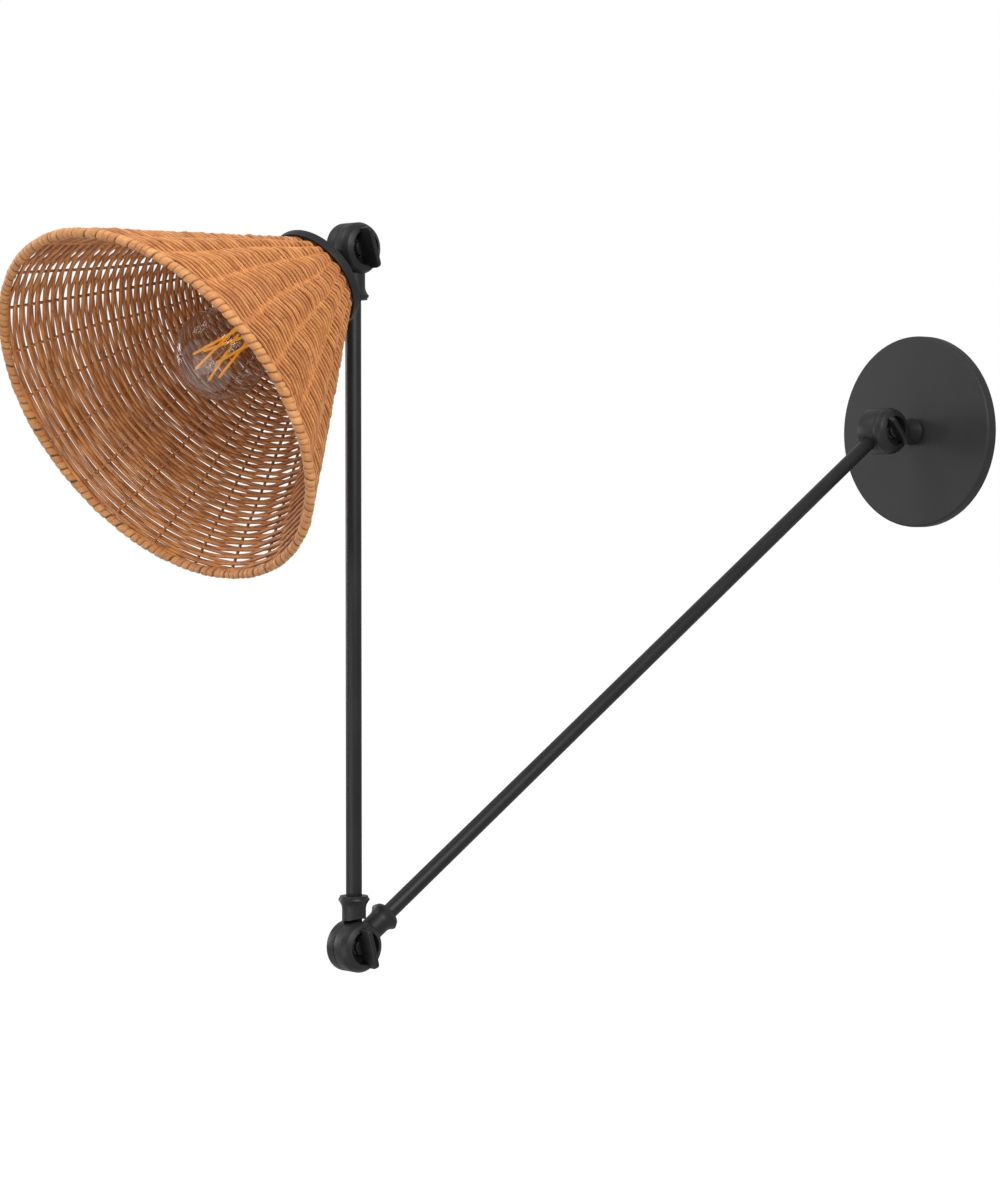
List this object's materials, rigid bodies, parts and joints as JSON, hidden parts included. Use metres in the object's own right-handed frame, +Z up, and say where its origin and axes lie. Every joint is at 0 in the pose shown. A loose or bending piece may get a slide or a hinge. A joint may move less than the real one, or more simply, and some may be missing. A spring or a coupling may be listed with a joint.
{
  "type": "swing arm wall sconce",
  "caption": "Wall lamp with a round plate, two tubular arms on keyed knuckle joints and a woven rattan cone shade around a clear filament bulb.",
  "frame": {"origin": "centre of the wall plate's back face, on the wall", "axes": "+Z up, +Y into the wall so that the room is at -Y, +X to the right of a person who faces the wall; every joint turns about X"},
  "size_m": [0.2366, 0.7652, 0.467],
  "materials": {
    "black_metal": "satin black powder coat on cast and tubular metal",
    "zinc_plate": "zinc-plated steel",
    "brass": "bare brass",
    "ground_green": "green-dyed steel",
    "black_plastic": "black moulded insulator",
    "porcelain": "glazed porcelain",
    "rattan": "honey-brown woven rattan core, matt with light sheen",
    "rattan_rim": "flat cane wrapped round the rim",
    "clear_glass": "clear, faintly smoky glass",
    "black_glass": "black glass insulator",
    "amber": "amber phosphor coating"
  },
  "bodies": {
    "wall_base": {"wall_plate": "black_metal", "mounting_strap": "zinc_plate", "ground_screw": "ground_green", "strap_nut": "zinc_plate", "wall_nipple": "zinc_plate", "wall_knuckle": "black_metal", "wall_key_washer": "zinc_plate"},
    "lower_arm": {"lower_arm_barrel": "black_metal", "lower_tube": "black_metal", "lower_arm_elbow": "black_metal", "wall_shim": "black_plastic", "elbow_key_washer": "zinc_plate"},
    "upper_arm": {"upper_arm_elbow": "black_metal", "upper_tube": "black_metal", "upper_arm_head": "black_metal", "elbow_shim": "black_plastic", "shade_key_washer": "zinc_plate"},
    "shade_head": {"shade_knuckle": "black_metal", "shade_shim": "black_plastic", "shade_cap": "black_metal", "shade_fitter": "zinc_plate", "shade_nut": "zinc_plate", "shade_nipple": "zinc_plate", "wicker_shade": "rattan", "rim_hoop": "rattan_rim", "lampholder_cup": "black_plastic", "lampholder_block": "porcelain", "lampholder_shell": "brass", "lampholder_contact": "brass", "bulb_contact": "zinc_plate", "bulb_insulator": "black_glass", "bulb_base": "zinc_plate", "bulb_glass": "clear_glass", "bulb_mount": "clear_glass", "bulb_filament_1": "amber", "bulb_filament_2": "amber", "bulb_filament_3": "amber", "bulb_filament_4": "amber", "bulb_filament_5": "amber", "bulb_filament_6": "amber"},
    "wall_key": {"wall_key": "black_metal"},
    "elbow_key": {"elbow_key": "black_metal"},
    "shade_key": {"shade_key": "black_metal"}
  },
  "joints": [
    {"name": "wall_hinge", "type": "hinge", "parent": "wall_base", "child": "lower_arm", "pos_m": [0, -0.045, 0], "axis": [1, 0, 0], "range_deg": [-120, 50]},
    {"name": "elbow_hinge", "type": "hinge", "parent": "lower_arm", "child": "upper_arm", "pos_m": [0, -0.53703, -0.32901], "axis": [1, 0, 0], "range_deg": [-6, 120]},
    {"name": "shade_hinge", "type": "hinge", "parent": "upper_arm", "child": "shade_head", "pos_m": [0, -0.53703, 0.10599], "axis": [0.9957, 0.0924, 0], "range_deg": [-90, 8]},
    {"name": "wall_key_turn", "type": "hinge", "parent": "wall_base", "child": "wall_key", "pos_m": [0, -0.045, 0], "axis": [1, 0, 0], "range_deg": [0, 180]},
    {"name": "elbow_key_turn", "type": "hinge", "parent": "lower_arm", "child": "elbow_key", "pos_m": [0, -0.53703, -0.32901], "axis": [1, 0, 0], "range_deg": [0, 180]},
    {"name": "shade_key_turn", "type": "hinge", "parent": "upper_arm", "child": "shade_key", "pos_m": [0, -0.53703, 0.10599], "axis": [0.9957, 0.0924, 0], "range_deg": [0, 180]}
  ]
}
